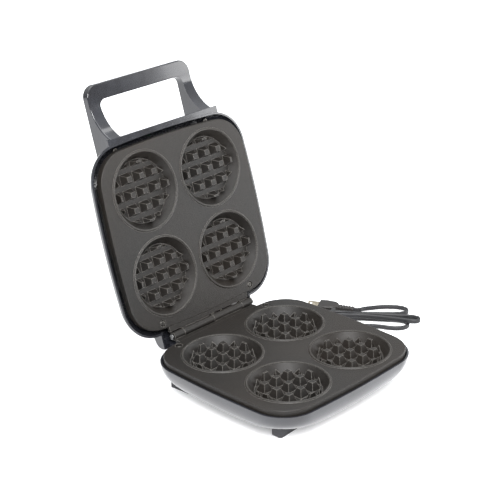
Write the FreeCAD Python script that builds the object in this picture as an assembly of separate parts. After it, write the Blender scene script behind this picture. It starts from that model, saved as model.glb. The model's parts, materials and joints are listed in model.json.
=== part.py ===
import FreeCAD, Part

import math
import os

# Four-cup waffle maker, standing open: a shallow base on four feet, and a lid that leans
# back on its stop. Millimetres, +X to the user's right, +Y to the hinge, +Z up, z = 0 on
# the table. Everything is drawn about the middle of the base plate, and moved once at the
# end so that the origin is the bottom centre of the open appliance's own bounding box.

# ---- driving dimensions ----
HINGE_Y = 128.0
HINGE_Z = 53.5
OPEN_DEG = 105.0
CLOSED_GAP = 1.0

CUP_PITCH = 107.6
CUP_RADIUS = 50.0
CUP_FLOOR_RADIUS = 39.5
CUP_DEPTH = 11.5
BEAD_HEIGHT = 1.5
BEAD_WIDTH = 3.0
BLOCK_PITCH = 19.4
BLOCK_BASE = 14.0
BLOCK_TOP = 6.5
BLOCK_HEIGHT = 9.8
BLOCK_FIELD = 38.6

# plan sizes: half across, half front to back, corner radius
PLATE_PLAN = (118.5, 114.6, 41.0)
BASE_PLAN = (122.6, 118.7, 45.0)
LID_PLAN = (127.0, 123.0, 46.0)
REFLECTOR_PLAN = (101.0, 98.0, 40.0)
PLAN_SHIFT = 3.0
SIDE_ARC = 1300.0

PLATE_SKIRT = 9.0
PLATE_WEB = 3.5
PLATE_EDGE = 1.2
RIM_DROP = 8.5
WALL = 2.6
# casing bowls: depth, how far the wall comes in, squareness, growth of the corner radius
BASE_BOWL = (34.0, 40.0, 2.4, 1.5)
LID_BOWL = (36.0, 85.0, 2.0, 0.6)

BARREL_RADIUS = 5.0
BARREL_HALF = 67.0
SHORT_KNUCKLE = 17.0
KNUCKLE_GAP = 0.3
PIN_RADIUS = 2.0
PIN_FIT = 0.05
TONGUE_ROOT = 114.0

HEEL_HALF = 70.0
HEEL_FLOOR = 14.0
HOOD_HALF = 77.0
STOP_GAP = 0.3

HANDLE_HALF = 82.5
LEG_THICK = 16.0
GRIP_FRONT = -190.0
GRIP_BACK = -170.5
GRIP_UNDER = 33.5
HANDLE_TOP = 44.0
BAR_FRONT = -124.5
HANDLE_SCREWS = [(s * 74.0, y) for s in (-1, 1) for y in (-109.0, -101.0)]

LAMP_X = (-14.0, 14.0)
LAMP_Y = -72.0
LAMP_RADIUS = 3.5

SCREW_X = 75.0
SCREW_Y = 108.0
SCREW_POST = 3.4
SHANK = 1.75
REFLECTOR_SCREWS = [(x, y) for x in (-24, 24) for y in (-84, 84)]

# Feet: the front pair run along the front edge and the rear pair along the sides. Each is
# deepest at its blunt outer end, and its underside rises to a thin tail.
FOOT_LENGTH = 52.0
FOOT_DEPTH = 17.0
FOOT_CORNER = (-91.0, -74.0)
REAR_FOOT_CORNER = (-90.0, 113.0)
FOOT_SCREWS = [(s * 78.0, -66.0) for s in (-1, 1)] + [(s * 81.0, 100.0) for s in (-1, 1)]

GLAND_X = 52.0
GLAND_Z = 23.0
GLAND_END = 161.0
LEAD_RADIUS = 1.3
LEAD_X = (28.0, 34.0)

CORD_RADIUS = 3.1
CORD_ROUTE = [(52, 161, 23), (52, 173, 22), (54, 187, 16), (64, 198, 8), (82, 198, 3.4),
              (99, 182, 3.3), (106, 158, 3.3), (104, 130, 3.3), (101, 102, 3.3), (112, 76, 3.3),
              (136, 60, 3.3), (164, 50, 3.3), (186, 38, 3.3), (197, 24, 3.3)]
HANK_TOP = 13.2
TIE_THICK = 0.8
PLUG_START = (211.0, 76.5)
PLUG_AXIS = (-0.47, 0.883)
PLUG_Z = 5.7
ON_THE_CORD = ("cord", "cord_hank", "cord_tie", "plug_body", "plug_blades")

# ---- heights that follow from them ----
BEAD_Z = HINGE_Z - CLOSED_GAP / 2
FACE_Z = BEAD_Z - BEAD_HEIGHT
WEB_Z = FACE_Z - PLATE_WEB
CUP_FLOOR_Z = BEAD_Z - CUP_DEPTH
CUP_UNDER_Z = CUP_FLOOR_Z - 3.0
BASE_RIM_Z = HINGE_Z - RIM_DROP
LID_RIM_Z = HINGE_Z + RIM_DROP
ELEMENT_RADIUS = 3.25
ELEMENT_Z = CUP_UNDER_Z - ELEMENT_RADIUS - 0.05
REFLECTOR_Z = 29.4
REFLECTOR_THICK = 0.6
LEAD_Z = HINGE_Z - 12.3
CUP_CENTRES = [(sx * CUP_PITCH / 2, sy * CUP_PITCH / 2) for sx in (-1, 1) for sy in (-1, 1)]

V = FreeCAD.Vector
UP = V(0, 0, 1)


# ---- general helpers ----
def flip(shape):
    """Turn a base piece over on the parting plane, about the line along Y at hinge height."""
    turned = shape.copy()
    turned.rotate(V(0, 0, HINGE_Z), V(0, 1, 0), 180)
    return turned


def open_lid(shape):
    """Swing a piece of the closed lid back to its stop."""
    turned = shape.copy()
    turned.rotate(V(0, HINGE_Y, HINGE_Z), V(1, 0, 0), -OPEN_DEG)
    return turned


def mirror_x(shape):
    return shape.mirror(V(0, 0, 0), V(1, 0, 0))


def box(x0, x1, y0, y1, z0, z1):
    return Part.makeBox(x1 - x0, y1 - y0, z1 - z0, V(x0, y0, z0))


def rod(x, y, z0, z1, radius):
    return Part.makeCylinder(radius, z1 - z0, V(x, y, z0), UP)


def fuse_all(shapes):
    return shapes[0].multiFuse(shapes[1:]).removeSplitter()


def side_profile(points, x0, x1):
    """A prism across X from an outline of (y, z) points; four numbers make an arc."""
    edges = []
    here = V(x0, *points[0])
    for step in points[1:]:
        if len(step) == 2:
            there = V(x0, *step)
            edges.append(Part.LineSegment(here, there).toShape())
        else:
            there = V(x0, step[2], step[3])
            edges.append(Part.Arc(here, V(x0, step[0], step[1]), there).toShape())
        here = there
    edges.append(Part.LineSegment(here, V(x0, *points[0])).toShape())
    return Part.Face(Part.Wire(edges)).extrude(V(x1 - x0, 0, 0))


def revolved(points, x, y):
    """A solid of revolution about the vertical through (x, y), from (radius, z) points."""
    outline = Part.makePolygon([V(x + r, y, z) for r, z in points + points[:1]])
    return Part.Face(outline).revolve(V(x, y, 0), UP, 360)


def outline(plan, side_arc, z):
    """A rectangle of four slightly bowed sides and four rounded corners, all tangent."""
    half_x, half_y, corner = plan
    front = V(0, side_arc - half_y, 0)
    right = V(half_x - side_arc, 0, 0)
    apart = (right - front).Length / 2
    outward = V(side_arc - half_y, half_x - side_arc, 0).normalize()
    centre = (front + right) / 2 + outward * math.sqrt((side_arc - corner) ** 2 - apart ** 2)
    to_front = (centre - front).normalize()
    to_right = (centre - right).normalize()
    start = front + to_front * side_arc
    middle = centre + (to_front + to_right).normalize() * corner
    end = right + to_right * side_arc
    arcs = [((-start.x, start.y), (0, -half_y), (start.x, start.y)),
            ((start.x, start.y), (middle.x, middle.y), (end.x, end.y)),
            ((end.x, end.y), (half_x, 0), (end.x, -end.y)),
            ((end.x, -end.y), (middle.x, -middle.y), (start.x, -start.y))]
    arcs += [tuple((-x, -y) for x, y in arc) for arc in arcs]
    edges = [Part.Arc(*[V(x, y + PLAN_SHIFT, z) for x, y in arc]).toShape() for arc in arcs]
    return Part.Wire(edges)


def inset_plan(plan, inset):
    return tuple(size - inset for size in plan)


def slab(plan, z0, z1):
    return Part.Face(outline(plan, SIDE_ARC, z0)).extrude(V(0, 0, z1 - z0))


def shell_ring(plan, growth, inset, z, trim):
    """One level of a casing: further in, the corners get rounder and the sides more bowed."""
    half_x, half_y, corner = plan
    corner = min(corner + growth * inset, 0.82 * (half_y - inset))
    ring = inset_plan((half_x - inset, half_y - inset, corner), trim)
    return outline(ring, SIDE_ARC / (1 + inset / 12), z)


def bowl(plan, shape, trim, mouth):
    """A solid bowl hanging from z = 0, its wall turning smoothly into its bottom."""
    depth, reach, roundness, growth = shape
    steps = [0.0, 0.2, 0.4, 0.58, 0.73, 0.85, 0.93, 0.98, 1.0]
    rings = [shell_ring(plan, growth, 0, mouth, trim)] if mouth else []
    for t in steps:
        inset = reach * (1 - (1 - t ** roundness) ** (1 / roundness))
        rings.append(shell_ring(plan, growth, inset, -(depth - trim) * t, trim))
    return Part.makeLoft(rings, True, False)


def base_bowl(trim, mouth=0.0):
    return bowl(BASE_PLAN, BASE_BOWL, trim, mouth).translated(V(0, 0, BASE_RIM_Z))


def lid_dome(trim, mouth=0.0):
    shape = bowl(LID_PLAN, LID_BOWL, trim, mouth)
    shape.rotate(V(0, 0, 0), V(0, 1, 0), 180)
    return shape.translated(V(0, 0, LID_RIM_Z))


def tangent_path(points, report=None):
    """Straight runs joined by tangent arcs, each as large as its two runs allow."""
    points = [V(*p) for p in points]
    edges = []
    radii = []
    here = points[0]
    for before, corner, after in zip(points, points[1:], points[2:]):
        back = before - corner
        ahead = after - corner
        reach = 0.45 * min(back.Length, ahead.Length)
        back.normalize()
        ahead.normalize()
        half_turn = (math.pi - back.getAngle(ahead)) / 2
        radius = reach / math.tan(half_turn)
        inward = (back + ahead).normalize()
        start = corner + back * reach
        end = corner + ahead * reach
        middle = corner + inward * (radius / math.cos(half_turn) - radius)
        edges.append(Part.LineSegment(here, start).toShape())
        edges.append(Part.Arc(start, middle, end).toShape())
        radii.append(radius)
        here = end
    edges.append(Part.LineSegment(here, points[-1]).toShape())
    if report:
        print(report, "arc radii:", " ".join(f"{r:.1f}" for r in radii))
    return Part.Wire(edges)


def tube(points, radius, report=None):
    path = tangent_path(points, report)
    heading = V(*points[1]) - V(*points[0])
    ring = Part.Wire(Part.makeCircle(radius, V(*points[0]), heading))
    shape = path.makePipeShell([ring], True, False)
    if report:
        expected = math.pi * radius * radius * path.Length
        print(report, f"length {path.Length:.1f}, volume {shape.Volume:.0f}, expected {expected:.0f}")
    return shape


def pan_screw(x, y, head_z, length, head_up=True):
    """A cross-recess screw: its head stands on head_z and its shank goes the other way."""
    head = rod(x, y, head_z, head_z + 2.0, 3.3)
    head = head.makeFillet(0.9, [e for e in head.Edges if e.BoundBox.ZMin > head_z + 1.9])
    recess = box(x - 1.9, x + 1.9, y - 0.45, y + 0.45, head_z + 0.9, head_z + 3)
    cross = recess.fuse(box(x - 0.45, x + 0.45, y - 1.9, y + 1.9, head_z + 0.9, head_z + 3))
    screw = head.fuse(rod(x, y, head_z - length, head_z, SHANK)).cut(cross).removeSplitter()
    if not head_up:
        screw.rotate(V(x, y, head_z), V(1, 0, 0), 180)
    return screw


# ---- cooking plates ----
def waffle_block(x, y):
    """A square pyramid with its top cut off, standing on the cup's floor."""
    rings = []
    for side, z in ((BLOCK_BASE, CUP_FLOOR_Z - 0.5), (BLOCK_TOP, CUP_FLOOR_Z + BLOCK_HEIGHT)):
        s = side / 2
        rings.append(Part.makePolygon([V(x + a * s, y + b * s, z) for a, b in
                                       ((-1, -1), (1, -1), (1, 1), (-1, 1), (-1, -1))]))
    return Part.makeLoft(rings, True, True)


def waffle_blocks():
    """The grid of blocks in one cup, the outer ones trimmed to a round field."""
    room = revolved([(0, CUP_FLOOR_Z - 0.6), (BLOCK_FIELD, CUP_FLOOR_Z - 0.6),
                     (BLOCK_FIELD - 0.6, FACE_Z), (0, FACE_Z)], 0, 0)
    blocks = []
    for i in range(-2, 3):
        for j in range(-2, 3):
            if abs(i) + abs(j) < 4:
                blocks.append(waffle_block(i * BLOCK_PITCH, j * BLOCK_PITCH).common(room))
    return blocks


def cup_hollow():
    mouth = CUP_RADIUS - BEAD_WIDTH
    return revolved([(0, CUP_FLOOR_Z), (CUP_FLOOR_RADIUS, CUP_FLOOR_Z), (mouth, FACE_Z),
                     (mouth, BEAD_Z + 1), (0, BEAD_Z + 1)], 0, 0)


def cup_wall():
    """The cup's cast wall below the plate and the raised bead round its mouth."""
    mouth = CUP_RADIUS - BEAD_WIDTH
    return revolved([(0, CUP_UNDER_Z), (CUP_FLOOR_RADIUS + 1.5, CUP_UNDER_Z),
                     (mouth + 3.2, WEB_Z), (CUP_RADIUS, WEB_Z + 1), (CUP_RADIUS, FACE_Z),
                     (CUP_RADIUS - 0.7, BEAD_Z - 0.4), (CUP_RADIUS - 1.3, BEAD_Z),
                     (mouth + 0.8, BEAD_Z), (mouth, BEAD_Z - 0.6), (mouth, WEB_Z + 1),
                     (0, WEB_Z + 1)], 0, 0)


def knuckle(x0, x1):
    """A length of hinge barrel with the tongue that ties it to the plate's edge."""
    barrel = Part.makeCylinder(BARREL_RADIUS, x1 - x0, V(x0, HINGE_Y, HINGE_Z), V(1, 0, 0))
    tongue = box(x0 + 2, x1 - 2, TONGUE_ROOT, HINGE_Y - 2, FACE_Z - 4.2, FACE_Z - 0.4)
    return barrel.fuse(tongue)


def plate():
    """Cooking plate as it lies in the base: pan, cups, blocks, hinge knuckles and screw seats."""
    pan = slab(PLATE_PLAN, FACE_Z - PLATE_SKIRT, FACE_Z)
    top_edges = [e for e in pan.Edges if e.BoundBox.ZMin > FACE_Z - 0.01]
    pan = pan.makeFillet(PLATE_EDGE, top_edges)
    pan = pan.cut(slab(inset_plan(PLATE_PLAN, 3.5), FACE_Z - PLATE_SKIRT - 1, WEB_Z))
    apron_end = HINGE_Y - BARREL_RADIUS - 0.6
    apron = box(-BARREL_HALF, BARREL_HALF, TONGUE_ROOT, apron_end, FACE_Z - 4.2, FACE_Z - 0.4)
    walls = [cup_wall().translated(V(x, y, 0)) for x, y in CUP_CENTRES]
    hollows = [cup_hollow().translated(V(x, y, 0)) for x, y in CUP_CENTRES]
    blocks = [b.translated(V(x, y, 0)) for x, y in CUP_CENTRES for b in waffle_blocks()]
    ends = (-BARREL_HALF, -BARREL_HALF + SHORT_KNUCKLE - KNUCKLE_GAP)
    knuckles = [knuckle(*ends), knuckle(KNUCKLE_GAP / 2, BARREL_HALF - SHORT_KNUCKLE)]
    seats = [rod(s * SCREW_X, SCREW_Y, WEB_Z - 2.0, WEB_Z + 1, 5.2) for s in (-1, 1)]
    body = pan.multiFuse([apron] + walls + knuckles + seats)
    pin_bore = Part.makeCylinder(PIN_RADIUS + PIN_FIT, 2 * BARREL_HALF + 2,
                                 V(-BARREL_HALF - 1, HINGE_Y, HINGE_Z), V(1, 0, 0))
    cuts = hollows + [pin_bore]
    for side in (-1, 1):
        x = side * SCREW_X
        cuts.append(rod(x, SCREW_Y, FACE_Z - 2.4, FACE_Z + 1, 4.4))
        cuts.append(rod(x, SCREW_Y, WEB_Z - 3, FACE_Z, SHANK + 0.25))
    body = body.cut(Part.makeCompound(cuts))
    return body.multiFuse(blocks).removeSplitter()


def plate_screws():
    return [pan_screw(s * SCREW_X, SCREW_Y, FACE_Z - 2.4, 16) for s in (-1, 1)]


# ---- what is under a plate: element, reflector, thermostat ----
def heating_element():
    """Tubular element that passes under all four cups, its cold ends turned up at the back."""
    route = [(-16, 100, ELEMENT_Z), (-16, 74, ELEMENT_Z), (-53, 56, ELEMENT_Z),
             (-53, -54, ELEMENT_Z), (53, -54, ELEMENT_Z), (53, 56, ELEMENT_Z),
             (16, 74, ELEMENT_Z), (16, 100, ELEMENT_Z)]
    sheath = tube(route, ELEMENT_RADIUS)
    ends = [Part.makeCylinder(1.4, 9, V(x, 99, ELEMENT_Z), V(0, 1, 0)) for x in (-16, 16)]
    return fuse_all([sheath] + ends)


def reflector():
    """Bright sheet dish that sends the element's heat back up to the plate."""
    dish = slab(REFLECTOR_PLAN, REFLECTOR_Z, REFLECTOR_Z + 6)
    hollow = slab(inset_plan(REFLECTOR_PLAN, REFLECTOR_THICK), REFLECTOR_Z + REFLECTOR_THICK,
                  REFLECTOR_Z + 7)
    holes = [rod(x, y, REFLECTOR_Z - 1, REFLECTOR_Z + 2, SHANK + 0.2) for x, y in REFLECTOR_SCREWS]
    notches = [box(x - 5, x + 5, 92, 104, ELEMENT_Z - ELEMENT_RADIUS - 0.6, REFLECTOR_Z + 8)
               for x in (-16, 16)]
    return dish.cut(hollow).cut(Part.makeCompound(holes + notches))


def reflector_screws():
    top = REFLECTOR_Z + REFLECTOR_THICK
    return [pan_screw(x, y, top, 9) for x, y in REFLECTOR_SCREWS]


def thermostat():
    """Disc thermostat against the middle of the plate, with its two blade terminals."""
    can = rod(0, 0, WEB_Z - 9.0, WEB_Z - 3.0, 8.0).fuse(rod(0, 0, WEB_Z - 3.0, WEB_Z, 6.6))
    ears = box(-13, 13, -4, 4, WEB_Z - 3.6, WEB_Z - 3.0)
    blades = [box(s * 4.5 - 0.4, s * 4.5 + 0.4, -3, 3, WEB_Z - 15, WEB_Z - 8.5) for s in (-1, 1)]
    return fuse_all([can, ears] + blades)


def thermal_fuse():
    """One-shot fuse in its sleeve, clamped across the web between two cups."""
    body = Part.makeCylinder(2.2, 16, V(-8, 24, WEB_Z - 2.4), V(1, 0, 0))
    legs = [Part.makeCylinder(0.6, 6, V(x, 24, WEB_Z - 2.4), V(1, 0, 0)) for x in (-13.5, 7.5)]
    return fuse_all([body] + legs)


# ---- base ----
def heel_profile(inner):
    """Section of the base's rear heel; its upper back face is where the open lid stops."""
    lean = math.radians(OPEN_DEG)
    reach = RIM_DROP - STOP_GAP
    top = BASE_RIM_Z
    stop_top = HINGE_Y + (reach + math.cos(lean) * RIM_DROP) / math.sin(lean)
    stop_low = HINGE_Y + (reach + math.cos(lean) * 18.0) / math.sin(lean)
    low = HEEL_FLOOR
    if not inner:
        return [(90, top), (stop_top, top), (stop_low, HINGE_Z - 18), (stop_low - 1.5, low + 8),
                (stop_low - 3.6, low + 2.2, 118, low), (90, low)]
    return [(88, top - WALL), (stop_top - 3.4, top - WALL), (stop_low - WALL, HINGE_Z - 18),
            (stop_low - 1.5 - WALL, low + 8.6), (stop_low - 6.6, low + 4, 117.4, low + WALL),
            (88, low + WALL)]


def lower_housing():
    heel = side_profile(heel_profile(False), -HEEL_HALF, HEEL_HALF)
    ends = [e for e in heel.Edges if e.BoundBox.XLength < 0.1 and e.BoundBox.YMin > 127]
    outer = base_bowl(0).fuse(heel.makeFillet(2.5, ends))
    room = base_bowl(WALL, 3.0)
    heel_room = side_profile(heel_profile(True), -HEEL_HALF + WALL, HEEL_HALF - WALL)
    shell = outer.cut(room).cut(heel_room)
    posts = [rod(s * SCREW_X, SCREW_Y, 16, WEB_Z - 2.05, SCREW_POST) for s in (-1, 1)]
    posts += [rod(x, y, 12, REFLECTOR_Z - 0.02, 4.2) for x, y in REFLECTOR_SCREWS]
    posts += [rod(x, y, 5, foot_screw_seat(x, y), 4.2) for x, y in FOOT_SCREWS]
    inside = outer.common(Part.makeCompound(posts))
    shell = shell.fuse(inside)
    cuts = [rod(s * SCREW_X, SCREW_Y, 28, WEB_Z, SHANK + 0.02) for s in (-1, 1)]
    cuts += [rod(x, y, 16, 56, SHANK + 0.02) for x, y in REFLECTOR_SCREWS]
    cuts += [rod(x, y, 5, 40, SHANK + 0.3) for x, y in FOOT_SCREWS]
    cuts.append(Part.makeCylinder(4.6, 30, V(GLAND_X, 115, GLAND_Z), V(0, 1, 0)))
    for x in LEAD_X:
        cuts.append(Part.makeCylinder(LEAD_RADIUS + 0.3, 20, V(x, 124, LEAD_Z), V(0, 1, 0)))
    return shell.cut(Part.makeCompound(cuts)).removeSplitter()


def foot_blank():
    """A foot with its blunt corner at the origin, running along +X, before it meets the bowl."""
    side = [(0, 30), (0, 3), (0.879, 0.879, 3, 0), (30, 0), (42.09, 2.62, FOOT_LENGTH, 10),
            (FOOT_LENGTH, 30)]
    edges = []
    here = V(side[0][0], 0, side[0][1])
    for step in side[1:] + side[:1]:
        there = V(step[-2], 0, step[-1])
        if len(step) == 2:
            edges.append(Part.LineSegment(here, there).toShape())
        else:
            edges.append(Part.Arc(here, V(step[0], 0, step[1]), there).toShape())
        here = there
    block = Part.Face(Part.Wire(edges)).extrude(V(0, FOOT_DEPTH, 0))
    plan = [V(4, 0, -1), V(FOOT_LENGTH, 3, -1), V(FOOT_LENGTH, 9, -1), V(34, FOOT_DEPTH, -1),
            V(5, FOOT_DEPTH, -1), V(0, FOOT_DEPTH - 5, -1), V(0, 4, -1), V(4, 0, -1)]
    footprint = Part.Face(Part.makePolygon(plan)).extrude(V(0, 0, 40))
    return block.common(footprint)


def foot(name):
    shape = foot_blank()
    if name.startswith("front"):
        shape.translate(V(FOOT_CORNER[0], FOOT_CORNER[1], 0))
    else:
        shape.rotate(V(0, 0, 0), UP, -90)
        shape.translate(V(REAR_FOOT_CORNER[0], REAR_FOOT_CORNER[1], 0))
    if "right" in name:
        shape = mirror_x(shape)
    shape = shape.cut(base_bowl(-0.05))
    for x, y in FOOT_SCREWS:
        shape = shape.cut(rod(x, y, 6, 40, SHANK + 0.02))
    return shape


def foot_screw_seat(x, y):
    """Height of the boss on the bowl's floor that a foot screw's head bears on."""
    return rod(x, y, 5, 40, 4.2).cut(base_bowl(WALL, 3.0)).optimalBoundingBox(False).ZMax


def foot_screws():
    """Screws that stand on the bowl's bosses and go down into the feet."""
    screws = []
    for x, y in FOOT_SCREWS:
        seat = foot_screw_seat(x, y)
        screws.append(pan_screw(x, y, seat, seat - 7))
    return screws


def terminal_block():
    block = box(GLAND_X - 14, GLAND_X + 14, 98, 112, GLAND_Z - 5, GLAND_Z + 5)
    screws = [rod(GLAND_X + dx, 105, GLAND_Z + 5, GLAND_Z + 6, 2.4) for dx in (-8, 0, 8)]
    return fuse_all([block] + screws)


def gland():
    """Strain relief: a collar each side of the heel's wall and a ribbed sleeve behind it."""
    outline_points = [(0, 120), (6.2, 120), (6.2, 123.2), (4.4, 124.2), (4.4, 131.4), (6.6, 131.4),
                      (6.6, 134), (5.2, 135)]
    for rib in range(5):
        y = 137 + 4.4 * rib
        r = 5.2 - 0.22 * rib
        outline_points += [(r, y), (r - 0.8, y + 0.4), (r - 0.8, y + 1.8), (r - 0.22, y + 2.2)]
    outline_points += [(3.9, GLAND_END), (0, GLAND_END)]
    face = Part.Face(Part.makePolygon([V(r, y, 0) for r, y in outline_points + outline_points[:1]]))
    return face.revolve(V(0, 0, 0), V(0, 1, 0), 360).translated(V(GLAND_X, 0, GLAND_Z))


def base_leads():
    """Cord's end, the leads to the element, and the pair that leaves for the lid."""
    stub = Part.makeCylinder(3.0, 8, V(GLAND_X, 112, GLAND_Z), V(0, 1, 0))
    left = [(40, 98, 22), (40, 92, 22), (24, 90, 23), (-16, 92, 23), (-22, 102, 26),
            (-22, 113, 32), (-16, 114, ELEMENT_Z), (-16, 108, ELEMENT_Z)]
    right = [(48, 98, 25.5), (48, 91, 25), (34, 88, 24), (18, 94, 24), (14, 110, 26),
             (16, 117, 32), (16, 114, ELEMENT_Z), (16, 108, ELEMENT_Z)]
    near = [(LEAD_X[0], 132.8, LEAD_Z), (LEAD_X[0], 122, LEAD_Z), (28, 112, 34),
            (31, 108, 27), (38, 108, 26)]
    far = [(LEAD_X[1], 132.8, LEAD_Z), (LEAD_X[1], 122, LEAD_Z), (34, 112, 36),
           (33, 103, 29), (38, 102, 26)]
    block = terminal_block()
    tubes = [tube(route, LEAD_RADIUS).cut(block) for route in (left, right, near, far)]
    return [stub] + tubes


def hinge_pin():
    pin = Part.makeCylinder(PIN_RADIUS, 2 * BARREL_HALF + 4, V(-BARREL_HALF - 0.3, HINGE_Y, HINGE_Z),
                            V(1, 0, 0))
    head = Part.makeCylinder(3.6, 2.2, V(-BARREL_HALF - 2.5, HINGE_Y, HINGE_Z), V(1, 0, 0))
    head = head.makeFillet(0.8, [e for e in head.Edges if e.BoundBox.XMax < -BARREL_HALF - 2.4])
    groove = Part.makeCylinder(PIN_RADIUS + 1, 0.9, V(BARREL_HALF + 1, HINGE_Y, HINGE_Z), V(1, 0, 0))
    core = Part.makeCylinder(PIN_RADIUS - 0.5, 0.9, V(BARREL_HALF + 1, HINGE_Y, HINGE_Z), V(1, 0, 0))
    return fuse_all([pin, head]).cut(groove.cut(core))


def pin_clip():
    """Spring clip snapped into the groove near the pin's right-hand end."""
    ring = Part.makeCylinder(4.2, 0.7, V(BARREL_HALF + 1.1, HINGE_Y, HINGE_Z), V(1, 0, 0))
    ring = ring.cut(Part.makeCylinder(PIN_RADIUS - 0.45, 0.7, V(BARREL_HALF + 1.1, HINGE_Y, HINGE_Z),
                                      V(1, 0, 0)))
    x = BARREL_HALF
    return ring.cut(box(x, x + 3, HINGE_Y - 1.4, HINGE_Y + 1.4, HINGE_Z - 6, HINGE_Z))


# ---- lid, drawn closed ----
def hood_profile(inner):
    """Section of the lid's rear hood, which covers the hinge when the lid is shut."""
    y, z = HINGE_Y, HINGE_Z
    if not inner:
        return [(y - 28, LID_RIM_Z), (y + 14.2, LID_RIM_Z),
                (y + 12.2, z + 18.6, y + 4, z + 23.6), (y - 28, z + 30.6)]
    return [(y - 30, LID_RIM_Z - 3), (y + 12.1, LID_RIM_Z - 3),
            (y + 10.2, z + 16.8, y + 3.4, z + 21.3), (y - 30, z + 28.4)]


def upper_housing():
    hood = side_profile(hood_profile(False), -HOOD_HALF, HOOD_HALF)
    ends = [e for e in hood.Edges if e.BoundBox.XLength < 0.1 and e.BoundBox.YMax > HINGE_Y
            and e.BoundBox.ZLength > 1]
    hood = hood.makeFillet(1.2, ends)
    outer = lid_dome(0).fuse(hood)
    room = lid_dome(WALL, 3.0)
    hood_room = side_profile(hood_profile(True), -HOOD_HALF + WALL, HOOD_HALF - WALL)
    shell = outer.cut(room).cut(hood_room)
    post_z = 2 * HINGE_Z - WEB_Z + 2.05
    posts = [rod(s * SCREW_X, SCREW_Y, post_z, 100, SCREW_POST) for s in (-1, 1)]
    reflector_top = 2 * HINGE_Z - REFLECTOR_Z
    posts += [rod(x, y, reflector_top + 0.02, 100, 4.2) for x, y in REFLECTOR_SCREWS]
    posts += [rod(x, y, handle_seat(x, y), 100, 4.4) for x, y in HANDLE_SCREWS]
    shell = shell.fuse(outer.common(Part.makeCompound(posts)))
    cuts = [rod(s * SCREW_X, SCREW_Y, 56, 80, SHANK + 0.02) for s in (-1, 1)]
    cuts += [rod(x, y, 56, 88, SHANK + 0.02) for x, y in REFLECTOR_SCREWS]
    cuts += [rod(x, y, 56, 110, SHANK + 0.2) for x, y in HANDLE_SCREWS]
    cuts += [rod(x, LAMP_Y, 60, 120, LAMP_RADIUS + 0.05) for x in LAMP_X]
    return shell.cut(Part.makeCompound(cuts)).removeSplitter()


def dome_height(x, y, radius):
    """Greatest height of the lid's outer skin over a round spot."""
    column = rod(x, y, LID_RIM_Z, 130, radius).common(lid_dome(0))
    return column.optimalBoundingBox(False).ZMax


def handle_seat(x, y):
    """Height of the boss face that a handle screw's head bears on."""
    return dome_height(x, y, 1.0) - 7.0


def handle():
    """Grip, two fin-shaped legs that run on along the lid, and the bar across its front wall."""
    z = HINGE_Z
    side = [(GRIP_FRONT, z + GRIP_UNDER), (-172.0, z + GRIP_UNDER),
            (-141.0, z + 25.5, BAR_FRONT, LID_RIM_Z), (-112, LID_RIM_Z), (-44, z + 40.0),
            (-44, z + HANDLE_TOP), (GRIP_FRONT, z + HANDLE_TOP)]
    blank = side_profile(side, -HANDLE_HALF, HANDLE_HALF)
    ring = box(-HANDLE_HALF, HANDLE_HALF, GRIP_FRONT, -40, z - 5, z + 60)
    front = [e for e in ring.Edges if e.BoundBox.YMax < GRIP_FRONT + 0.1 and e.BoundBox.ZLength > 50]
    ring = ring.makeFillet(16, front)
    half = HANDLE_HALF - LEG_THICK
    gap = box(-half, half, GRIP_BACK, -30, z - 6, z + 61)
    inner = [e for e in gap.Edges if e.BoundBox.YMax < GRIP_BACK + 0.1 and e.BoundBox.ZLength > 50]
    gap = gap.makeFillet(9, inner)
    frame = blank.common(ring.cut(gap))
    front_edges = [e for e in frame.Edges if e.BoundBox.YMax < GRIP_FRONT + 16.5 and e.Length > 8
                   and e.BoundBox.ZLength < 0.1]
    frame = frame.makeFillet(1.6, front_edges)
    bar = box(-87, 87, BAR_FRONT, -110, LID_RIM_Z, LID_RIM_Z + 4)
    stub = box(87, 92, BAR_FRONT, -114, LID_RIM_Z + 0.6, LID_RIM_Z + 3.4)
    shape = frame.multiFuse([bar, stub]).cut(lid_dome(-0.05))
    for x, y in HANDLE_SCREWS:
        shape = shape.cut(rod(x, y, 60, dome_height(x, y, 1.0) + 6.5, SHANK + 0.02))
    return max(shape.Solids, key=lambda s: s.Volume).removeSplitter()


def handle_screws():
    return [pan_screw(x, y, handle_seat(x, y), 13, head_up=False) for x, y in HANDLE_SCREWS]


def lamp_lens(x):
    top = dome_height(x, LAMP_Y, LAMP_RADIUS)
    lens = rod(x, LAMP_Y, top - 5.8, top + 1.3, LAMP_RADIUS)
    edge = [e for e in lens.Edges if e.BoundBox.ZMin > top + 1.2]
    flange = rod(x, LAMP_Y, top - 5.8, top - 4.8, LAMP_RADIUS + 1.2)
    return fuse_all([lens.makeFillet(1.1, edge), flange])


def lamp_bulb(x):
    top = dome_height(x, LAMP_Y, LAMP_RADIUS) - 6.1
    bulb = rod(x, LAMP_Y, top - 9, top - 2.0, 2.2)
    tip = Part.makeSphere(2.2, V(x, LAMP_Y, top - 2.2))
    return fuse_all([bulb, tip])


def lid_leads():
    """The leads that come over from the base, through the hood, to the ends of the element."""
    z = 2 * HINGE_Z - ELEMENT_Z
    y = HINGE_Y + 10.4
    mouth = LID_RIM_Z + 0.1
    near = [(LEAD_X[0], y, mouth), (LEAD_X[0], y - 0.6, 67.5), (22, 130, z), (0, 122, z),
            (-12, 118, z), (-16, 114, z), (-16, 108, z)]
    far = [(LEAD_X[1], y, mouth), (LEAD_X[1], y - 0.6, 67.5), (33, 129, z), (24, 117, z),
           (16, 114.5, z), (16, 108, z)]
    return [tube(route, LEAD_RADIUS) for route in (near, far)]


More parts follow.
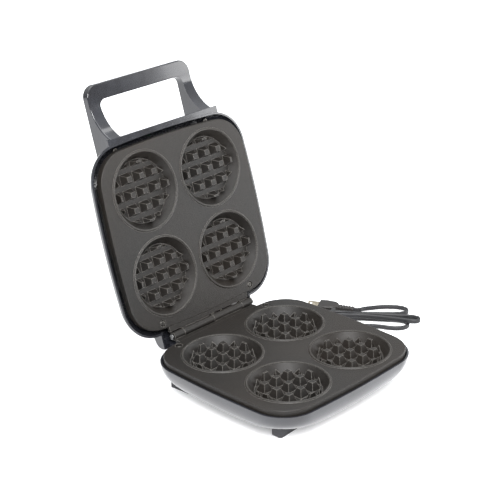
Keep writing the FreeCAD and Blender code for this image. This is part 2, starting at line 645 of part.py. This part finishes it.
# ---- cord, its hank and its plug ----
def hank():
    """The folded length of cord as one slab, drawn in at its tie and fanned out at its ends."""
    rim = [(193.9, 21.5), (200.1, 26.5), (203, 33), (196, 44), (175.8, 74), (167.7, 85.4),
           (145.9, 96.9), (128.6, 109.1), (120.5, 125.5), (125.5, 142.5), (138.5, 151.9),
           (156.3, 151.1), (169.2, 138.3), (175.1, 117.9), (179, 93.6), (187.2, 82.2), (199, 75),
           (207.5, 74.6), (214.5, 78.4), (232, 75), (250, 66), (264, 50), (270, 29), (260, 13),
           (249, 12), (247, -3), (246, -15), (233, -21), (211, -12), (200, -4), (194, 8)]
    outline_wire = Part.makePolygon([V(x, y, TIE_THICK) for x, y in rim + rim[:1]])
    return Part.Face(outline_wire).extrude(V(0, 0, HANK_TOP - TIE_THICK))


def cord_tie():
    """Flat twist tie round the waist of the hank."""
    run = V(0.582, -0.813, 0).normalize()
    across = V(0.813, 0.582, 0).normalize()
    centre = V(177.4, 83.8, 0)
    corners = [(-1, -1), (1, -1), (1, 1), (-1, 1), (-1, -1)]

    def frame(half_across, z0, z1, half_run):
        base = centre + V(0, 0, z0)
        points = [base + across * (a * half_across) + run * (b * half_run) for a, b in corners]
        return Part.Face(Part.makePolygon(points)).extrude(V(0, 0, z1 - z0))

    outer = frame(8.6, 0, HANK_TOP + TIE_THICK, 2.5)
    return outer.cut(frame(8.6 - TIE_THICK, TIE_THICK, HANK_TOP, 4))


def plug_body():
    """Two-pin plug lying on its side, moulded in one with its ribbed sleeve."""
    profile = [(0, 0), (3.7, 0)]
    for rib in range(5):
        y = 1.2 + 3.8 * rib
        r = 4.2 + 0.2 * rib
        profile += [(r, y), (r, y + 1.9), (r - 0.8, y + 2.3), (r - 0.8, y + 3.4)]
    profile += [(5.2, 20.6), (5.2, 23), (0, 23)]
    face = Part.Face(Part.makePolygon([V(r, y, 0) for r, y in profile + profile[:1]]))
    sleeve = face.revolve(V(0, 0, 0), V(0, 1, 0), 360)
    rings = []
    for y, wide, thick in ((22, 6.6, 5.0), (27, 9.6, 5.3), (38, 11.6, 5.3), (47.5, 11.2, 5.1)):
        ring = [V(a * wide, y, b * thick) for a, b in ((-1, -1), (1, -1), (1, 1), (-1, 1), (-1, -1))]
        rings.append(Part.makePolygon(ring))
    grip = Part.makeLoft(rings, True, True)
    corners = [e for e in grip.Edges if e.BoundBox.YLength > 4]
    grip = grip.makeFillet(2.2, corners)
    return place_plug(fuse_all([grip, sleeve]))


def place_plug(shape):
    turned = shape.copy()
    angle = math.degrees(math.atan2(PLUG_AXIS[1], PLUG_AXIS[0])) - 90
    turned.rotate(V(0, 0, 0), UP, angle)
    turned.translate(V(PLUG_START[0], PLUG_START[1], PLUG_Z))
    return turned


def plug_blades():
    blades = []
    for side in (-1, 1):
        blade = box(side * 6.35 - 0.75, side * 6.35 + 0.75, 47.5, 64.5, -3.2, 3.2)
        hole = Part.makeCylinder(1.5, 6, V(side * 6.35 - 3, 60.5, 0), V(1, 0, 0))
        blades.append(place_plug(blade.cut(hole)))
    return blades


# ---- the assembly ----
def build():
    cooking_plate = plate()
    element = heating_element()
    dish = reflector()
    disc = thermostat()
    fuse = thermal_fuse()
    nodes = {
        "lower_housing": lower_housing(),
        "lower_plate": cooking_plate,
        "lower_plate_screws": plate_screws(),
        "lower_heating_element": element,
        "lower_reflector": dish,
        "lower_reflector_screws": reflector_screws(),
        "thermostat": disc,
        "thermal_fuse": fuse,
        "terminal_block": terminal_block(),
        "base_leads": base_leads(),
        "strain_relief": gland(),
        "foot_screws": foot_screws(),
        "hinge_pin": hinge_pin(),
        "pin_clip": pin_clip(),
        "cord": tube(CORD_ROUTE, CORD_RADIUS, "cord"),
        "cord_hank": hank(),
        "cord_tie": cord_tie(),
        "plug_body": plug_body(),
        "plug_blades": plug_blades(),
    }
    for name in ("front_left_foot", "front_right_foot", "rear_left_foot", "rear_right_foot"):
        nodes[name] = foot(name)
    closed_lid = {
        "upper_housing": upper_housing(),
        "upper_plate": flip(cooking_plate),
        "upper_plate_screws": [flip(s) for s in plate_screws()],
        "upper_heating_element": flip(element),
        "upper_reflector": flip(dish),
        "upper_reflector_screws": [flip(s) for s in reflector_screws()],
        "handle": handle(),
        "handle_screws": handle_screws(),
        "power_lamp_lens": lamp_lens(LAMP_X[0]),
        "ready_lamp_lens": lamp_lens(LAMP_X[1]),
        "lamp_bulbs": [lamp_bulb(x) for x in LAMP_X],
        "lid_leads": lid_leads(),
    }
    for name, shape in closed_lid.items():
        if isinstance(shape, list):
            nodes[name] = [open_lid(s) for s in shape]
        else:
            nodes[name] = open_lid(shape)
    return nodes


def as_one(shape):
    return Part.makeCompound(shape) if isinstance(shape, list) else shape


def main():
    os.makedirs("parts", exist_ok=True)
    nodes = {name: as_one(shape) for name, shape in build().items()}
    own = Part.makeCompound([s for name, s in nodes.items() if name not in ON_THE_CORD])
    extent = own.optimalBoundingBox(False)
    shift = V(0, -(extent.YMin + extent.YMax) / 2, 0)
    print(f"shift in y {shift.y:.3f}, x {extent.XMin:.2f} to {extent.XMax:.2f}")
    print(f"hinge axis at y {HINGE_Y + shift.y:.3f}, z {HINGE_Z}; height {extent.ZMax:.2f}")
    for name, shape in nodes.items():
        moved = shape.translated(shift)
        valid = moved.isValid() and all(s.isClosed() for s in moved.Solids)
        print(f"{name}: {len(moved.Solids)} solids, {moved.Volume / 1000:.2f} cm3, valid {valid}")
        moved.exportStep(f"parts/{name}.step")


main()
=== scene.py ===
import json
import math

import bpy
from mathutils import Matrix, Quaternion, Vector


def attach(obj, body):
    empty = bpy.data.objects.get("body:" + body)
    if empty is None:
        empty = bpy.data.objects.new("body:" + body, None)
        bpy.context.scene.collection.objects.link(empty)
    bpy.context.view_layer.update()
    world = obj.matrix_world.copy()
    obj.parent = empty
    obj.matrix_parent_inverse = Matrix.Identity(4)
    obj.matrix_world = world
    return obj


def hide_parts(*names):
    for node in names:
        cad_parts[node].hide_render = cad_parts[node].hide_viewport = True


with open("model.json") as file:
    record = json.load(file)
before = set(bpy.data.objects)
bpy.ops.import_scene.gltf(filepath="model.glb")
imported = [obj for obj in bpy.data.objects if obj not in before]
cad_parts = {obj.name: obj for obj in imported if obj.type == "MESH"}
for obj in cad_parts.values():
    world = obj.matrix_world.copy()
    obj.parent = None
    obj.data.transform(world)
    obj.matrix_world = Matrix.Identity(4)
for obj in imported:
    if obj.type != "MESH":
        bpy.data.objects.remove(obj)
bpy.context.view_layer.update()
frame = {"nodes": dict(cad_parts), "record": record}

# Four-cup waffle maker, standing open, with its cord folded beyond its right-hand side. Metres.
# The lower plate's middle lies PLATE_Y in front of the origin, and the beads round its cups
# lie BEAD_Z above the table.
PLATE_Y = 0.068373
BEAD_Z = 0.053


# ---- camera ----
# Angles in degrees, lens and sensor in millimetres. The azimuth turns from the object's front.
AZIMUTH = -44.491
ELEVATION = 23.305
ROLL = -1.885
LENS = 100.449
SENSOR = 36.0
CAMERA_PLACE = (-1.066978, -1.029792 - PLATE_Y, 0.770116 + BEAD_Z)
FARTHEST_SEEN = 20.0


def place_camera():
    data = bpy.data.cameras.new("camera")
    data.sensor_width = SENSOR
    data.lens = LENS
    data.clip_end = FARTHEST_SEEN
    cam = bpy.data.objects.new("camera", data)
    bpy.context.scene.collection.objects.link(cam)
    azimuth = math.radians(AZIMUTH)
    elevation = math.radians(ELEVATION)
    back = Vector((math.sin(azimuth) * math.cos(elevation),
                   -math.cos(azimuth) * math.cos(elevation), math.sin(elevation)))
    cam.location = CAMERA_PLACE
    cam.rotation_mode = "QUATERNION"
    level = (-back).to_track_quat("-Z", "Y")
    cam.rotation_quaternion = level @ Quaternion((0, 0, 1), math.radians(ROLL))
    bpy.context.scene.camera = cam


# ---- mains cord ----
def at_plate(x, y, z):
    """A place in metres, from millimetres beside the lower plate's middle and above the table."""
    return (x / 1000, y / 1000 - PLATE_Y, z / 1000)


CORD_ROUTE = [
    # out of the strain relief, down to the table and round the back corner
    (52, 161, 23), (52, 173, 22), (54, 187, 16), (64, 198, 8), (82, 198, 3.4), (99, 182, 3.3),
    (106, 158, 3.3), (104, 130, 3.3), (101, 102, 3.3), (112, 76, 3.3), (136, 60, 3.3),
    (164, 50, 3.3), (186, 38, 3.3), (197, 24, 3.3),
    # first turn of the hank, on the table, and back under the others to the tie
    (203.5, 8, 3.3), (213, -4.5, 3.3), (225, -6.5, 3.3), (232.5, 2, 3.3), (229, 15.5, 3.3),
    (219.3, 28, 3.3), (208.9, 42.7, 3.3), (198, 58, 3.3), (186, 72, 3.3), (175.2, 81, 3.2),
    # hidden loop behind the base
    (162.7, 93.8, 3.2), (146.1, 102, 3.2), (132.2, 112, 3.2), (125.4, 126.5, 3.2),
    (129.7, 139.4, 3.2), (140.2, 147, 3.2), (154, 146.5, 3.2), (165, 135.6, 3.2),
    (170.5, 119.4, 3.2), (171.6, 100.5, 3.2), (180.8, 85, 3.2),
    # up on to the double run and its tight fold
    (191, 70, 5.5), (204.8, 50.4, 9), (213.5, 36.4, 9.2), (222.8, 22.4, 9.2), (232.3, 9.4, 9.2),
    (240, -2, 9.3), (241.5, -11, 9.4), (234.6, -15.8, 9.5), (228.2, -10.5, 9.5),
    (223.2, 1.5, 9.6), (215.6, 17.2, 9.6), (199.8, 46.5, 9.6), (187, 64, 9.6), (175.2, 81, 9.6),
    # second hidden loop, on the first
    (164, 95.5, 9.6), (149, 104.5, 9.6), (135.5, 114.5, 9.6), (129, 127, 9.6),
    (132.5, 137.5, 9.6), (141.6, 143.5, 9.6), (152.6, 142.8, 9.6), (161.5, 133.5, 9.6),
    (167, 118, 9.6), (170, 101.5, 9.6), (180.8, 85, 9.6),
    # down to the table again, the last turn, and up to the plug
    (190.5, 75, 8.6), (202, 66.5, 5.4), (215.6, 57.5, 3.3), (230, 41.5, 3.3), (244.5, 24, 3.3),
    (256.5, 19.5, 3.3), (263, 29, 3.3), (257.5, 43.4, 3.3), (245, 57.4, 3.3), (231.5, 66.2, 3.6),
    (221, 70, 4.8), (214.5, 69.5, 5.4), (211, 76.5, 5.7),
]
CORD_WIDTH = 0.0062
# Each core's radius as a share of the cord's width, the sine of the angle at which the web
# leaves the core, and the steps round one core.
CORE_SHARE = 0.29
WEB_SINE = -0.72
CORE_STEPS = 9
STEPS_PER_POINT = 8


def spline_points(points, name):
    """The line that a smooth NURBS spline with these control points follows."""
    data = bpy.data.curves.new(name, "CURVE")
    data.dimensions = "3D"
    spline = data.splines.new("NURBS")
    spline.points.add(len(points) - 1)
    for point, place in zip(spline.points, points):
        point.co = (*place, 1.0)
    spline.order_u = 3
    spline.use_endpoint_u = True
    spline.resolution_u = STEPS_PER_POINT
    holder = bpy.data.objects.new(name, data)
    mesh = bpy.data.meshes.new_from_object(holder)
    line = [vertex.co.copy() for vertex in mesh.vertices]
    bpy.data.meshes.remove(mesh)
    bpy.data.curves.remove(data)
    return line


def two_core_section(width):
    """Outline of a flat two-core cord standing on edge: two rounds joined by a web."""
    core = CORE_SHARE * width
    lift = width / 2 - core
    meet = math.asin(WEB_SINE)
    outline = []
    for side in (1, -1):
        for i in range(CORE_STEPS + 1):
            angle = meet + (math.pi - 2 * meet) * i / CORE_STEPS
            across = core * math.cos(angle)
            up = lift + core * math.sin(angle)
            outline.append((side * across, side * up))
    return outline


def sweep(name, line, section):
    """A closed tube of one section along a line, its second axis kept as upright as it can be."""
    vertices = []
    faces = []
    count = len(section)
    last = len(line) - 1
    for i, place in enumerate(line):
        ahead = line[min(i + 1, last)] - line[max(i - 1, 0)]
        ahead.normalize()
        side = ahead.cross(Vector((0, 0, 1))).normalized()
        up = side.cross(ahead)
        vertices += [place + side * across + up * rise for across, rise in section]
        if i:
            low = (i - 1) * count
            high = i * count
            for corner in range(count):
                following = (corner + 1) % count
                faces.append((low + corner, low + following, high + following, high + corner))
    faces.append(tuple(range(count)))
    faces.append(tuple(reversed(range(len(vertices) - count, len(vertices)))))
    mesh = bpy.data.meshes.new(name)
    mesh.from_pydata(vertices, [], faces)
    mesh.validate()
    for polygon in mesh.polygons:
        polygon.use_smooth = True
    piece = bpy.data.objects.new(name, mesh)
    bpy.context.scene.collection.objects.link(piece)
    return piece


def make_cord():
    line = spline_points([at_plate(*point) for point in CORD_ROUTE], "cord_line")
    cord = sweep("mains_cord", line, two_core_section(CORD_WIDTH))
    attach(cord, "base")
    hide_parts("cord", "cord_hank")
    return cord


# ---- materials ----
BEVEL_SAMPLES = 4


class Paint:
    """Builds one procedural material, node by node."""

    def __init__(self, name):
        self.material = bpy.data.materials.new(name)
        self.material.use_nodes = True
        self.tree = self.material.node_tree
        self.shader = self.tree.nodes["Principled BSDF"]
        self.place = self.tree.nodes.new("ShaderNodeTexCoord").outputs["Object"]

    def join(self, source, target):
        self.tree.links.new(source, target)

    def noise(self, scale, detail=2.0, rough=0.5):
        node = self.tree.nodes.new("ShaderNodeTexNoise")
        node.inputs["Scale"].default_value = scale
        node.inputs["Detail"].default_value = detail
        node.inputs["Roughness"].default_value = rough
        self.join(self.place, node.inputs["Vector"])
        return node.outputs["Fac"]

    def ramp(self, source, low, high, out_low=0.0, out_high=1.0):
        """The source's stretch from low to high, spread from out_low to out_high."""
        node = self.tree.nodes.new("ShaderNodeMapRange")
        for key, value in (("From Min", low), ("From Max", high),
                           ("To Min", out_low), ("To Max", out_high)):
            node.inputs[key].default_value = value
        self.join(source, node.inputs["Value"])
        return node.outputs["Result"]

    def blend(self, factor, first, second):
        """From the first colour at 0 to the second at 1. A colour is a tuple or a socket."""
        node = self.tree.nodes.new("ShaderNodeMix")
        node.data_type = "RGBA"
        self.join(factor, node.inputs["Factor"])
        for socket, value in (("A", first), ("B", second)):
            target = [entry for entry in node.inputs
                      if entry.name == socket and entry.type == "RGBA"][0]
            if isinstance(value, tuple):
                target.default_value = (*value, 1.0)
            else:
                self.join(value, target)
        return [entry for entry in node.outputs if entry.type == "RGBA"][0]

    def rounded(self, radius):
        """Normals that make sharp edges look rounded."""
        node = self.tree.nodes.new("ShaderNodeBevel")
        node.samples = BEVEL_SAMPLES
        node.inputs["Radius"].default_value = radius
        return node.outputs["Normal"]

    def bump(self, height, strength, distance, normal=None):
        node = self.tree.nodes.new("ShaderNodeBump")
        node.inputs["Strength"].default_value = strength
        node.inputs["Distance"].default_value = distance
        self.join(height, node.inputs["Height"])
        if normal:
            self.join(normal, node.inputs["Normal"])
        return node.outputs["Normal"]

    def edge(self, radius):
        """1 along sharp edges and 0 on open faces."""
        geometry = self.tree.nodes.new("ShaderNodeNewGeometry")
        dot = self.tree.nodes.new("ShaderNodeVectorMath")
        dot.operation = "DOT_PRODUCT"
        self.join(self.rounded(radius), dot.inputs[0])
        self.join(geometry.outputs["Normal"], dot.inputs[1])
        return self.ramp(dot.outputs["Value"], 0.99, 0.8)

    def set(self, **values):
        """Shader inputs, named with underscores for spaces, as a number, colour or socket."""
        for key, value in values.items():
            socket = self.shader.inputs[key.replace("_", " ")]
            if isinstance(value, bpy.types.NodeSocket):
                self.join(value, socket)
            elif socket.type == "RGBA":
                socket.default_value = (*value, 1.0)
            else:
                socket.default_value = value


def nonstick():
    paint = Paint("nonstick_coating")
    grain = paint.noise(900.0, 3.0, 0.65)
    cloud = paint.noise(7.0, 2.0)
    speck = paint.blend(paint.ramp(grain, 0.35, 0.7),
                        (0.004, 0.0038, 0.0036), (0.018, 0.0165, 0.015))
    # Sharp edges of the blocks and beads are blended towards a light grey: a painted highlight along
    # the edges, not wear.
    edge_highlight = paint.blend(paint.edge(0.0009), speck, (0.20, 0.19, 0.175))
    colour = paint.blend(paint.ramp(cloud, 0.3, 0.7, 0.0, 0.5), edge_highlight, (0.018, 0.0135, 0.010))
    peel = paint.bump(grain, 0.6, 0.0005, paint.rounded(0.0006))
    paint.set(Base_Color=colour, Roughness=paint.ramp(grain, 0.3, 0.7, 0.36, 0.5), Normal=peel)
    paint.set(Specular_IOR_Level=0.25)
    return paint.material


def gloss_black():
    paint = Paint("gloss_black_plastic")
    haze = paint.noise(30.0, 4.0, 0.6)
    fine = paint.noise(420.0, 2.0)
    colour = paint.blend(paint.ramp(haze, 0.35, 0.65),
                         (0.010, 0.010, 0.012), (0.016, 0.017, 0.021))
    paint.set(Base_Color=colour, Roughness=paint.ramp(haze, 0.3, 0.7, 0.10, 0.17))
    paint.set(Normal=paint.bump(fine, 0.03, 0.0002, paint.rounded(0.0005)))
    paint.set(Specular_IOR_Level=0.45, Coat_Weight=0.25, Coat_Roughness=0.05, Coat_IOR=1.5)
    return paint.material


def textured_plastic(name, dark, light, rough, scale, depth):
    paint = Paint(name)
    grain = paint.noise(scale, 3.0, 0.6)
    colour = paint.blend(paint.ramp(grain, 0.3, 0.7), dark, light)
    paint.set(Base_Color=colour, Roughness=paint.ramp(grain, 0.3, 0.7, rough, rough + 0.12))
    paint.set(Normal=paint.bump(grain, 0.5, depth, paint.rounded(0.0004)), Specular_IOR_Level=0.35)
    return paint.material


def metal(name, dark, light, rough):
    paint = Paint(name)
    cloud = paint.noise(300.0, 3.0, 0.55)
    colour = paint.blend(paint.ramp(cloud, 0.3, 0.7), dark, light)
    paint.set(Base_Color=colour, Roughness=paint.ramp(cloud, 0.3, 0.7, rough, rough + 0.15))
    paint.set(Normal=paint.bump(cloud, 0.1, 0.0001, paint.rounded(0.0002)), Metallic=1.0)
    return paint.material


def lens(name, deep, pale):
    paint = Paint(name)
    cloud = paint.noise(250.0, 2.0)
    colour = paint.blend(paint.ramp(cloud, 0.3, 0.7), deep, pale)
    paint.set(Base_Color=colour, Roughness=paint.ramp(cloud, 0.3, 0.7, 0.06, 0.14))
    paint.set(Normal=paint.bump(paint.noise(900.0), 0.05, 0.0001), Transmission_Weight=0.35, IOR=1.49)
    return paint.material


def paint_everything(cord):
    finishes = {
        "nonstick_cast": nonstick(),
        "gloss_black": gloss_black(),
        "matte_black": textured_plastic("matte_black_plastic", (0.028, 0.028, 0.031),
                                        (0.05, 0.05, 0.054), 0.55, 1400.0, 0.0002),
        "cord_black": textured_plastic("cord_pvc", (0.008, 0.008, 0.009), (0.016, 0.016, 0.018),
                                       0.38, 700.0, 0.0001),
        "plug_black": textured_plastic("plug_pvc", (0.008, 0.007, 0.0065), (0.016, 0.013, 0.012),
                                       0.36, 800.0, 0.0001),
        "screw_steel": metal("plated_steel", (0.05, 0.048, 0.045), (0.13, 0.125, 0.115), 0.3),
        "pin_steel": metal("dark_steel", (0.10, 0.10, 0.10), (0.2, 0.2, 0.2), 0.3),
        "element_steel": metal("heated_sheath", (0.10, 0.085, 0.07), (0.2, 0.17, 0.15), 0.4),
        "reflector_aluminium": metal("rolled_aluminium", (0.68, 0.68, 0.68), (0.82, 0.82, 0.82), 0.2),
        "switch_body": textured_plastic("phenolic", (0.05, 0.02, 0.012), (0.09, 0.04, 0.025),
                                        0.4, 500.0, 0.0001),
        "ceramic_white": textured_plastic("ceramic", (0.62, 0.6, 0.54), (0.74, 0.72, 0.66),
                                          0.3, 300.0, 0.0001),
        "lead_sleeve": textured_plastic("glass_sleeve", (0.5, 0.48, 0.42), (0.7, 0.68, 0.6),
                                        0.6, 900.0, 0.0003),
        "blade_brass": metal("nickelled_brass", (0.32, 0.29, 0.23), (0.45, 0.42, 0.35), 0.3),
        "lens_red": lens("red_lens", (0.35, 0.01, 0.008), (0.55, 0.03, 0.02)),
        "lens_green": lens("green_lens", (0.01, 0.25, 0.05), (0.04, 0.4, 0.1)),
        "lamp_glass": lens("lamp_glass", (0.7, 0.62, 0.55), (0.85, 0.8, 0.75)),
        "tie_wire": textured_plastic("tie_paper", (0.012, 0.012, 0.012), (0.03, 0.03, 0.03),
                                     0.5, 900.0, 0.0002),
    }
    for part in frame["record"]["subparts"]:
        node = frame["nodes"][part["node"]]
        node.data.materials.clear()
        node.data.materials.append(finishes[part["material_slot"]])
    cord.data.materials.append(finishes["cord_black"])


# ---- studio ----
# Strength of the sky's light along the horizon and overhead, and of the floor's own glow.
HORIZON = 0.4
ZENITH = 1.6
FLOOR_GLOW = 0.3
SKY_COLOUR = (0.96, 0.98, 1.0, 1.0)
FLOOR_REACH = 6.0


def make_floor():
    corners = [(x * FLOOR_REACH, y * FLOOR_REACH, 0) for x, y in ((-1, -1), (1, -1), (1, 1), (-1, 1))]
    mesh = bpy.data.meshes.new("floor")
    mesh.from_pydata(corners, [], [(0, 1, 2, 3)])
    floor = bpy.data.objects.new("floor", mesh)
    bpy.context.scene.collection.objects.link(floor)
    paint = Paint("floor")
    mottle = paint.noise(3.0, 3.0)
    paint.set(Base_Color=paint.blend(mottle, (0.86, 0.86, 0.87), (0.89, 0.89, 0.9)))
    paint.set(Roughness=0.9, Emission_Color=(1.0, 1.0, 1.0), Emission_Strength=FLOOR_GLOW)
    mesh.materials.append(paint.material)


def make_world():
    """A soft sky, brightest overhead and dim along the horizon."""
    world = bpy.data.worlds.new("studio")
    bpy.context.scene.world = world
    world.use_nodes = True
    tree = world.node_tree
    background = tree.nodes["Background"]
    background.inputs["Color"].default_value = SKY_COLOUR
    split = tree.nodes.new("ShaderNodeSeparateXYZ")
    tree.links.new(tree.nodes.new("ShaderNodeTexCoord").outputs["Generated"], split.inputs[0])
    climb = tree.nodes.new("ShaderNodeMapRange")
    climb.inputs["To Min"].default_value = HORIZON
    climb.inputs["To Max"].default_value = ZENITH
    tree.links.new(split.outputs["Z"], climb.inputs["Value"])
    tree.links.new(climb.outputs["Result"], background.inputs["Strength"])


def softbox(name, place, target, width, height, power):
    """A rectangular lamp at a place, turned to face a target. Power in watts."""
    data = bpy.data.lights.new(name, "AREA")
    data.shape = "RECTANGLE"
    data.size = width
    data.size_y = height
    data.energy = power
    lamp = bpy.data.objects.new(name, data)
    bpy.context.scene.collection.objects.link(lamp)
    lamp.location = place
    lamp.rotation_mode = "QUATERNION"
    lamp.rotation_quaternion = (Vector(target) - Vector(place)).to_track_quat("-Z", "Y")


def make_lights():
    softbox("overhead", place=(0.1, 0.1, 2.4), target=(0, 0, 0), width=2.2, height=2.2, power=60)
    softbox("by_camera", place=(-1.15, -1.25, 1.45), target=(0, 0, 0.1),
            width=0.8, height=0.8, power=70)
    softbox("right_front", place=(2.05, -1.35, 0.5), target=(0, 0, 0.2),
            width=1.2, height=1.4, power=40)


place_camera()
mains_cord = make_cord()
paint_everything(mains_cord)
make_floor()
make_world()
make_lights()
bpy.context.scene.view_settings.view_transform = "Standard"
